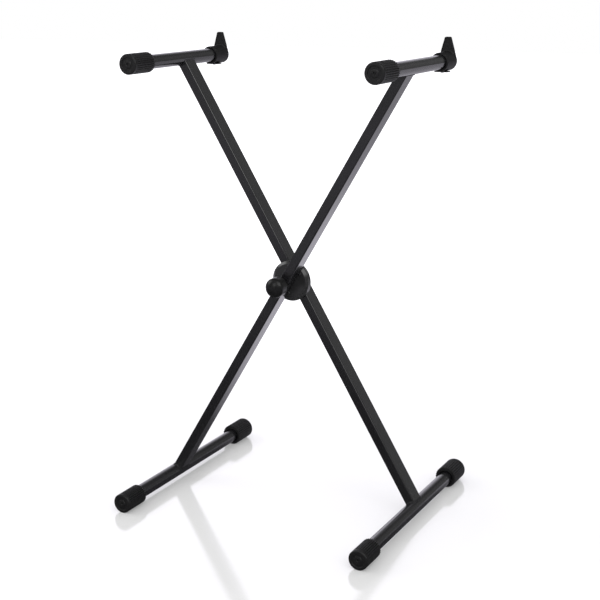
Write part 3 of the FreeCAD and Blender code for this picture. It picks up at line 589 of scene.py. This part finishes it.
class STAND_OT_finish_hub(bpy.types.Operator):
    """Finish the steel pieces of the hub and turn its knob"""
    bl_idname = "stand.finish_hub"
    bl_label = "Finish the hub"

    def execute(self, context):
        finishes, sizes, _ = scene_settings()
        steel = turned_steel(finishes)
        paint_nodes(MACHINED, steel)
        paint_nodes(BLACKENED, blackened_steel(finishes))
        plastic = moulded_plastic("knob_plastic", finishes.knob, finishes.dust, roughness=0.26,
                                  grain_depth=0.02 * MM)
        paint_nodes(("bore_plug",), plastic)
        self.knob(sizes, plastic)
        self.spring(sizes, steel)
        return {"FINISHED"}

    @staticmethod
    def spring(sizes, steel):
        """The coil spring, wound along the lock spring's box on the front frame; it does not shorten when the knob
        is pulled.
        """
        low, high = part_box("lock_spring")
        wire = sizes.spring_wire / 2
        reach = (high.x - low.x) / 2 - wire
        steps_per_turn, sides = 32, 10
        steps = sizes.spring_turns * steps_per_turn
        advance = Y_AXIS * (high.y - low.y - 2 * wire) / steps
        turn = 2 * math.pi * sizes.spring_turns / steps
        shape = bmesh.new()
        points = bmesh.ops.create_circle(shape, segments=sides, radius=wire, cap_ends=True)["verts"]
        edges = list(shape.edges)
        flat = [vert.co.copy() for vert in points]
        for step in range(steps + 1):
            if step:
                edges, points = extrude_loop(shape, edges)
            outward = Vector((math.cos(turn * step), 0, math.sin(turn * step)))
            forward = (Y_AXIS.cross(outward) * -reach * turn + advance).normalized()
            upward = forward.cross(outward)
            middle = Vector((0, low.y + wire, PIVOT.z)) + advance * step + outward * reach
            for vert, spot in zip(points, flat):
                vert.co = middle + outward * spot.x + upward * spot.y
        bmesh.ops.edgeloop_fill(shape, edges=edges)
        piece = finish_piece("coil_spring", shape, steel, FRONT_BODY, ("lock_spring",),
                             sharp=60.0)
        joints = frame["record"]["behaviour"]["joints"]
        travel = next(joint["range_m"][1] for joint in joints if joint["name"] == "lock_pull")
        1 - travel / (high.y - low.y)
        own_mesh(piece)

    @staticmethod
    def knob(sizes, plastic):
        """A hollow knob with a domed face, round shoulder and straight skirt, on a boss for its rod."""
        low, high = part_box("lock_knob")
        radius, height = (high.x - low.x) / 2, high.y - low.y
        inner = radius - sizes.knob_wall
        crown, shoulder = sizes.knob_crown, sizes.knob_round
        middle = height - crown
        skirt = middle + math.sqrt((crown - shoulder) ** 2 - (radius - shoulder) ** 2)
        meet = math.degrees(math.atan2(skirt - middle, radius - shoulder))
        edge, chamfer, ceiling = 1.0 * MM, 0.6 * MM, KNOB_BOSS[-1][1] * MM
        profile = [(inner, ceiling), (inner, chamfer), (inner + chamfer, 0)]
        profile += arc((radius - edge, edge), edge, -90, 0, 4) + [(radius, skirt)]
        profile += arc((radius - shoulder, skirt), shoulder, 0, meet, 10)[1:]
        profile += arc((0, middle), crown, meet, 90, 16)[1:]
        profile += [(across * MM, rise * MM) for across, rise in KNOB_BOSS] + profile[:1]
        shape = bmesh.new()
        spin_profile(shape, profile, along_y((0, high.y, PIVOT.z), True))
        finish_piece("pull_knob", shape, plastic, LOCK_BODY, ("lock_knob",), sharp=50.0)


class STAND_OT_make_stops(bpy.types.Operator):
    """Mould the finned stops at the back of the supports and drive their screws"""
    bl_idname = "stand.make_stops"
    bl_label = "Make the stops"

    def execute(self, context):
        finishes, sizes, _ = scene_settings()
        plastic = moulded_plastic("stop_plastic", finishes.plastic, finishes.dust, roughness=0.46,
                                  grain_depth=0.05 * MM)
        steel = blackened_steel(finishes)
        for node in STOPS:
            low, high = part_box(node)
            axis = Vector(((low.x + high.x) / 2, low.y, high.z - sizes.fin_height))
            shape = bmesh.new()
            self.fin(shape, axis, high.y, sizes)
            self.sleeve(shape, axis, high.y - low.y - sizes.fin_thickness, sizes)
            self.base(shape, axis, low.z, sizes)
            finish_piece(f"{node}_moulding", shape, plastic, node_body(node), (node,))
            self.screw(f"{node}_screw", sizes, steel)
        return {"FINISHED"}

    @staticmethod
    def side(sizes):
        """Where a fin's straight side leaves its round root, from the axis."""
        top, shoulder, radius = sizes.fin_top / 2, sizes.fin_height - sizes.fin_corner, sizes.stop_radius
        square = top ** 2 + shoulder ** 2
        reach = math.sqrt(square - radius ** 2)
        share = radius / square
        return share * (radius * top + reach * shoulder), share * (radius * shoulder - reach * top)

    def fin(self, shape, axis, back, sizes):
        """A tapered plate with a round root and a sunk panel in its front."""
        touch = self.side(sizes)
        lean = math.degrees(math.atan2(touch[1], touch[0]))
        top, corner = sizes.fin_top / 2 - sizes.fin_corner, sizes.fin_corner
        shoulder = sizes.fin_height - corner
        rim = arc((0, 0), sizes.stop_radius, lean, -180 - lean, 56)
        rim += arc((-top, shoulder), corner, 180, 90, 8) + arc((top, shoulder), corner, 90, 0, 8)
        front = back - sizes.fin_thickness
        verts = [shape.verts.new((axis.x + x, front, axis.z + z)) for x, z in rim]
        face = shape.faces.new(verts)
        made = bmesh.ops.extrude_face_region(shape, geom=[face])["geom"]
        bmesh.ops.translate(shape, vec=(0, sizes.fin_thickness, 0), verts=points_of(made))
        bmesh.ops.recalc_face_normals(shape, faces=shape.faces)
        facing = -0.9
        face = next(face for face in shape.faces if face.normal.y < facing)
        cut = (0, 0, axis.z + sizes.panel_bottom - sizes.panel_margin)
        bmesh.ops.bisect_plane(shape, geom=[face, *face.edges, *face.verts], plane_co=cut,
                               plane_no=(0, 0, 1))
        panel = max((face for face in shape.faces if face.normal.y < facing),
                    key=lambda face: face.calc_center_median().z)
        edges = [edge for edge in shape.edges if self.outer(edge, axis.z, back, front)]
        bmesh.ops.inset_individual(shape, faces=[panel], thickness=sizes.panel_margin)
        bmesh.ops.inset_individual(shape, faces=[panel], thickness=sizes.panel_slope,
                                   depth=-sizes.panel_depth)
        round_edges(shape, edges, sizes.fin_edge, 3)

    @staticmethod
    def outer(edge, level, back, front):
        """Whether an edge is on a fin's rim: all round its back, and at its front only above the sleeve."""
        ends = [vert.co for vert in edge.verts]
        if all(abs(end.y - back) < TINY for end in ends):
            return True
        clear, steep = level + 9 * MM, 1.0
        rim = all(abs(end.y - front) < TINY for end in ends) and min(end.z for end in ends) > clear
        return rim and len(edge.link_faces) == 2 and abs(edge.calc_face_angle(0)) > steep

    def sleeve(self, shape, axis, length, sizes):
        """A sleeve round the tube, with a hollow fillet where it meets the fin."""
        bore, radius, fillet = sizes.tube_radius, sizes.stop_radius, sizes.fin_fillet
        chamfer, lip, overlap, fillet_steps = 1.0 * MM, 1.2 * MM, 0.3 * MM, 5
        inside = length + overlap
        rings = [(bore, inside, 0), (bore, chamfer, 0), (bore + chamfer, 0, 0), (radius - lip, 0, 0)]
        rings += [(*point, 0) for point in arc((radius - lip, lip), lip, -60, 0, 3)]
        rings += [(radius, length - fillet, 0)]
        for step in range(1, fillet_steps + 1):
            angle = math.radians(90 * step / fillet_steps)
            rings.append((radius, length - fillet * (1 - math.sin(angle)), 1 - math.cos(angle)))
        rings.append((radius, inside, 1))
        touch = self.side(sizes)
        top, shoulder = sizes.fin_top / 2, sizes.fin_height - sizes.fin_corner
        taper = (touch[0] - top) / (shoulder - touch[1])

        def reach(angle):
            """How far the fillet may spread at an angle from the top."""
            lean = math.sin(angle) + taper * math.cos(angle)
            if angle > math.pi / 2 or lean < TINY:
                return 0.0
            room = (top + taper * shoulder) / lean - radius - sizes.fin_edge
            return max(min(fillet, room), 0.0)

        def spread(vert, share):
            return share * reach(abs(math.atan2(vert.x, -vert.y)))

        skin = bmesh.new()
        skin_rings(skin, 96, rings, spread, tube=True)
        bmesh.ops.transform(skin, matrix=along_y(axis, False), verts=skin.verts)
        join(shape, skin)

    @staticmethod
    def base(shape, axis, bottom, sizes):
        """The flat plate under the sleeve."""
        wide, deep, thick = sizes.base_size
        middle = Vector((axis.x, axis.y + sizes.base_setback + deep / 2, bottom + thick / 2))
        scale = Matrix.Diagonal((wide, deep, thick, 1))
        plate = bmesh.new()
        bmesh.ops.create_cube(plate, size=1, matrix=Matrix.Translation(middle) @ scale)
        upright = [edge for edge in plate.edges
                   if abs(edge.verts[0].co.z - edge.verts[1].co.z) > thick / 2]
        round_edges(plate, upright, sizes.base_corner, 5)
        square = 1.2
        rims = [edge for edge in plate.edges if abs(edge.calc_face_angle(0)) > square]
        round_edges(plate, rims, sizes.base_edge, 2)
        join(shape, plate)

    @staticmethod
    def screw(node, sizes, steel):
        """A pan head with a cross recess, over the plain shank of the screw it stands for."""
        low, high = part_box(node)
        radius = (high.x - low.x) / 2
        head, shank = sizes.screw_head, sizes.screw_shank
        place = Vector(((low.x + high.x) / 2, (low.y + high.y) / 2, low.z + head))
        tip, flat, shoulder = place.z - high.z, radius - 1.1 * MM, 0.9 * MM
        profile = [(0, tip), (shank, tip), (shank, 0), (radius - 0.1 * MM, 0)]
        profile += arc((radius - shoulder, 0.35 * MM), shoulder, 0, 65, 5)
        profile += [(flat, head), (0, head)]
        shape = bmesh.new()
        spin_profile(shape, profile, Matrix.Identity(4), steps=48)
        bmesh.ops.remove_doubles(shape, verts=shape.verts, dist=TINY)
        crown = [face for face in shape.faces if face.calc_center_median().z > head - TINY]
        bmesh.ops.dissolve_faces(shape, faces=crown)
        half, reach = sizes.screw_cross / 2, sizes.screw_reach
        for where in (half, -half, reach, -reach):
            for way in ((1, 0, 0), (0, 1, 0)):
                top = [face for face in shape.faces if face.calc_center_median().z > head - TINY]
                geom = {item for face in top for item in (face, *face.edges, *face.verts)}
                bmesh.ops.bisect_plane(shape, geom=list(geom), plane_co=Vector(way) * where, plane_no=way)
        cross = []
        for face in shape.faces:
            middle = face.calc_center_median()
            across, along = sorted((abs(middle.x), abs(middle.y)))
            if middle.z > head - TINY and across < half and along < reach:
                cross.append(face)
        sunk = points_of(bmesh.ops.extrude_face_region(shape, geom=cross)["geom"])
        bmesh.ops.delete(shape, geom=cross, context="FACES_ONLY")
        bmesh.ops.translate(shape, vec=(0, 0, -sizes.screw_sink), verts=sunk)
        turn = Matrix.Rotation(math.pi, 4, "X")
        bmesh.ops.transform(shape, matrix=Matrix.Translation(place) @ turn, verts=shape.verts)
        finish_piece(f"{node}_head", shape, steel, node_body(node), (node,))


class STAND_OT_make_caps(bpy.types.Operator):
    """Mould the fluted rubber caps and grips"""
    bl_idname = "stand.make_caps"
    bl_label = "Make the caps"

    def execute(self, context):
        finishes, sizes, _ = scene_settings()
        rubber = moulded_rubber(finishes)
        for node, tube in CAPS.items():
            self.cap(node, tube, sizes, rubber)
        return {"FINISHED"}

    def cap(self, node, tube, sizes, rubber):
        """A fluted cap with an open ring in its mouth, whose bore follows the tube's own axis."""
        low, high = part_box(node)
        front = low.y < 0
        length = high.y - low.y
        radius = (high.x - low.x) / 2
        centre = (low + high) / 2
        mouth = Vector((centre.x, high.y if front else low.y, centre.z))
        bore = sizes.tube_radius
        edge, band = sizes.cap_edge, length - sizes.end_band
        mouth_ring, deep = bore + (radius - bore) * sizes.mouth_share, sizes.mouth_depth
        lip, lip_rise, chamfer = 0.4 * MM, 0.5 * MM, 0.7 * MM
        flute_end, flute_fade = band - 3.0 * MM, band - 1.2 * MM
        rings = [(bore, length - sizes.cap_end, 0), (bore, deep, 0), (mouth_ring - lip, deep, 0),
                 (mouth_ring, lip_rise, 0), (mouth_ring + lip, 0, 0), (radius - chamfer, 0, 1),
                 (radius, chamfer, 1), (radius, flute_end, 1), (radius, flute_fade, 0.7),
                 (radius, band, 0), (radius, length - edge, 0)]
        rounded = arc((radius - edge, length - edge), edge, 0, 90, 5)[1:]
        rings += [(*point, 0) for point in rounded]
        start = {"rim": radius - edge - sizes.face_rim, "button": sizes.button_radius, "axis": 0.0}
        rings += [(start[base] + offset * MM, length - depth * MM, 0) for base, offset, depth in CAP_FACE]

        def groove(vert, share):
            return -share * sizes.flute_depth * self.flute(math.atan2(vert.y, vert.x), sizes)

        shape = bmesh.new()
        skin_rings(shape, sizes.flutes * sizes.flute_steps, rings, groove)
        inside = [vert for vert in shape.verts if vert.co.z < length - sizes.cap_end + TINY
                  and vert.co.xy.length < mouth_ring + lip_rise]
        bmesh.ops.transform(shape, matrix=along_y(mouth, front), verts=shape.verts)
        tube_low, tube_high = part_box(tube)
        bmesh.ops.translate(shape, vec=(0, 0, (tube_low.z + tube_high.z) / 2 - centre.z), verts=inside)
        finish_piece(f"{node}_moulding", shape, rubber, node_body(node), (node,))

    @staticmethod
    def flute(angle, sizes):
        """How deep the groove is at an angle, from 0 on a crest to 1 at its floor."""
        turn = (angle + math.pi / 2) * sizes.flutes / (2 * math.pi) + 0.5
        away = abs(turn - math.floor(turn) - 0.5) * 2
        inside = 1 - away / sizes.flute_share
        return math.sin(inside * math.pi / 2) if inside > 0 else 0.0


class STAND_OT_set_stage(bpy.types.Operator):
    """Lay the floor, light the stand and set the camera"""
    bl_idname = "stand.set_stage"
    bl_label = "Set the stage"

    def execute(self, context):
        _, _, stage = scene_settings()
        self.lay_floor(stage)
        self.light_sky(context, stage)
        for softbox in SOFTBOXES:
            self.softbox(*softbox)
        self.set_camera(context, stage)
        context.scene.view_settings.view_transform = "Standard"
        return {"FINISHED"}

    def lay_floor(self, stage):
        shape = bmesh.new()
        bmesh.ops.create_grid(shape, x_segments=1, y_segments=1, size=stage.floor_reach)
        mesh = bpy.data.meshes.new("studio_floor")
        shape.to_mesh(mesh)
        shape.free()
        floor = bpy.data.objects.new("studio_floor", mesh)
        bpy.context.scene.collection.objects.link(floor)
        mesh.materials.append(self.floor_finish(stage))

    @staticmethod
    def floor_finish(stage):
        """White to the eye; in the stand's gloss, a glow of painted light: bright in a band behind the stand,
        darker in a painted shadow at the stand and dim elsewhere.
        """
        finish = new_finish("glossy_floor")
        seen, glossy = (finish.add("ShaderNodeLightPath", output=name) for name in
                        ("Is Camera Ray", "Is Glossy Ray"))
        matte = finish.add("ShaderNodeBsdfDiffuse", None, {"Color": rgba(stage.floor)})
        mirror = finish.add("ShaderNodeBsdfGlossy", None, {"Color": WHITE, "Roughness": stage.floor_blur})
        surface = finish.add("ShaderNodeMixShader", None, {0: stage.floor_gloss, 1: matte, 2: mirror})
        away = finish.add("ShaderNodeVectorMath", {"operation": "LENGTH"}, {0: finish.place()}, "Value")
        far = finish.ramp(away * FLOOR_FADE_SCALE, *FLOOR_FADE)
        glow = finish.add("ShaderNodeEmission", None, {"Color": far * stage.far_lift + stage.floor_lift})
        lifted = finish.add("ShaderNodeAddShader", None, {0: surface, 1: glow})
        shown = finish.add("ShaderNodeMixShader", None, {0: seen, 1: surface, 2: lifted})
        behind = finish.add("ShaderNodeSeparateXYZ", None, {0: finish.place()}, "Y")
        # Painted light and shade on the floor, seen only in gloss: a glow behind the stand and a dark strip at it
        # in place of its shadow.
        band = finish.ramp(behind * FLOOR_BAND_SCALE + FLOOR_BAND_MIDDLE, *FLOOR_BAND)
        tinted = finish.mix(band, BLACK, rgba(stage.haze))
        mirrored = finish.add("ShaderNodeEmission", None, {"Color": tinted})
        swept = finish.add("ShaderNodeMixShader", None, {0: glossy, 1: shown, 2: mirrored})
        finish.add("ShaderNodeOutputMaterial", None, {"Surface": swept})
        return finish.owner

    @staticmethod
    def light_sky(context, stage):
        """White to the eye; in gloss, a dim room with a pale wall, a white sweep and the lamps' images."""
        world = bpy.data.worlds.new("studio")
        context.scene.world = world
        finish = Finish(world)
        seen, glossy, through = (finish.add("ShaderNodeLightPath", output=name) for name in
                                 ("Is Camera Ray", "Is Glossy Ray", "Is Transmission Ray"))
        way = finish.add("ShaderNodeTexCoord", output="Generated")
        bright = rgba([stage.room] * 3)
        for middle, edge, colour in ((stage.wall, stage.wall_edge, [stage.wall_light] * 3),
                                     (stage.sweep, stage.sweep_edge, stage.haze)):
            lit = finish.ramp(finish.toward(way, Vector(middle)), (edge, 0), (1.0, 1))
            bright = finish.mix(lit, bright, rgba(colour))
        studio = finish.background(bright, 1.0)
        glow = finish.background(WHITE, stage.lamp_image)
        for _, place, size, _ in SOFTBOXES:
            ray = Vector(place) - LIT_POINT
            edge = math.cos(math.atan2(size / 2, ray.length))
            start, end = (edge + fade for fade in IMAGE_FADE)
            patch = finish.ramp(finish.toward(way, ray), (start, 0), (end, 1))
            studio = finish.add("ShaderNodeMixShader", None, {0: patch, 1: studio, 2: glow})
        soft = finish.background(WHITE, stage.sky)
        white = finish.background(WHITE, 1.0)
        shown = finish.add("ShaderNodeMixShader", None, {0: glossy, 1: soft, 2: studio})
        light = finish.add("ShaderNodeMixShader", None, {0: seen + through, 1: shown, 2: white})
        finish.add("ShaderNodeOutputWorld", None, {"Surface": light})

    @staticmethod
    def softbox(name, place, size, power):
        """A lamp whose mirror image comes from the sky's own soft patch."""
        light = bpy.data.lights.new(name, "AREA")
        light.size = size
        light.energy = power
        lamp = bpy.data.objects.new(name, light)
        lamp.location = place
        lamp.rotation_euler = (LIT_POINT - lamp.location).to_track_quat("-Z", "Y").to_euler()
        lamp.visible_glossy = False
        bpy.context.scene.collection.objects.link(lamp)

    @staticmethod
    def set_camera(context, stage):
        """Turn by yaw, then pitch, then roll, as the photograph was taken."""
        lens = bpy.data.cameras.new("photo_camera")
        lens.lens = stage.lens
        lens.sensor_width = 36
        lens.clip_end = 100
        camera = bpy.data.objects.new("photo_camera", lens)
        upright = math.pi / 2 - stage.pitch
        turn = (Matrix.Rotation(stage.yaw, 4, "Z") @ Matrix.Rotation(upright, 4, "X")
                @ Matrix.Rotation(stage.roll, 4, "Z"))
        camera.matrix_world = Matrix.Translation(stage.eye) @ turn
        context.scene.collection.objects.link(camera)
        context.scene.camera = camera


class STAND_PT_panel(bpy.types.Panel):
    """Lists the steps that dress the stand"""
    bl_idname = "STAND_PT_panel"
    bl_label = "Keyboard stand"
    bl_space_type = "VIEW_3D"
    bl_region_type = "UI"
    bl_category = "Stand"

    def draw(self, context):
        for step in STEPS:
            self.layout.operator(step.bl_idname)


STEPS = (STAND_OT_coat_frame, STAND_OT_finish_hub, STAND_OT_make_stops, STAND_OT_make_caps,
         STAND_OT_set_stage)
GROUPS = {"stand_finishes": StandFinishes, "stand_sizes": StandSizes, "stand_stage": StageSettings}


def register():
    for item in (*GROUPS.values(), *STEPS, STAND_PT_panel):
        bpy.utils.register_class(item)
    for name, group in GROUPS.items():
        setattr(bpy.types.Scene, name, PointerProperty(type=group))


def unregister():
    for name in GROUPS:
        delattr(bpy.types.Scene, name)
    for item in (STAND_PT_panel, *reversed(STEPS), *reversed(GROUPS.values())):
        bpy.utils.unregister_class(item)


def main():
    register()
    bpy.ops.stand.coat_frame()
    bpy.ops.stand.finish_hub()
    bpy.ops.stand.make_stops()
    bpy.ops.stand.make_caps()
    bpy.ops.stand.set_stage()


if __name__ == "__main__":
    main()
